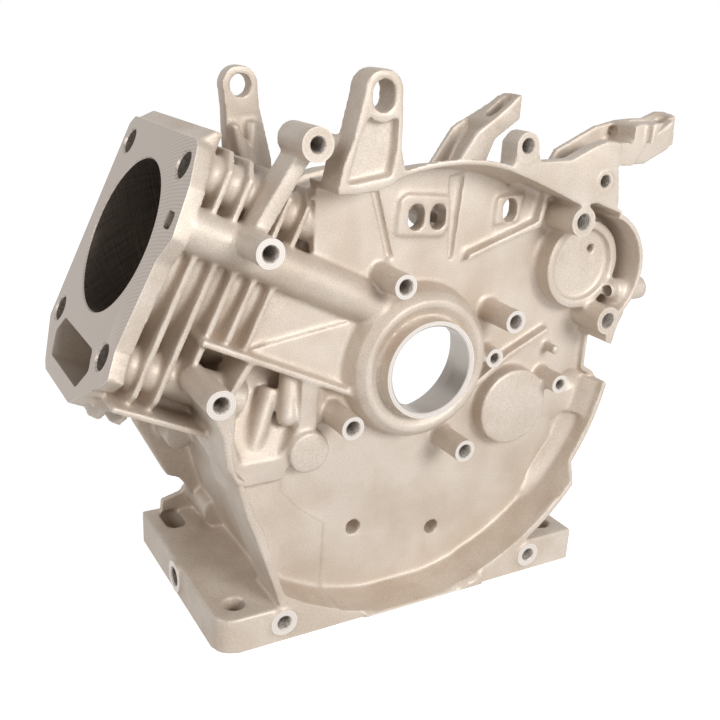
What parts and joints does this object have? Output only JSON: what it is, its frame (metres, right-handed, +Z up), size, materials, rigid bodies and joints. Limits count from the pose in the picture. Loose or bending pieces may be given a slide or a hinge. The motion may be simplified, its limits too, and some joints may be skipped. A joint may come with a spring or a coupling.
{
  "type": "crankcase",
  "caption": "Cast crankcase with an angled finned cylinder, a seal ring inside a round flywheel dish, screw bosses, slotted bracket arms and a flat drilled base.",
  "frame": {"origin": "crankshaft axis at the face of the oil seal ring", "axes": "+Y along the crankshaft into the case, +Z up from the base, +X away from the cylinder"},
  "size_m": [0.3253, 0.1365, 0.2778],
  "materials": {
    "casting": "matte",
    "liner": "satin"
  },
  "bodies": {
    "root": {"crankcase": "casting", "cylinder_liner": "liner"}
  },
  "joints": []
}
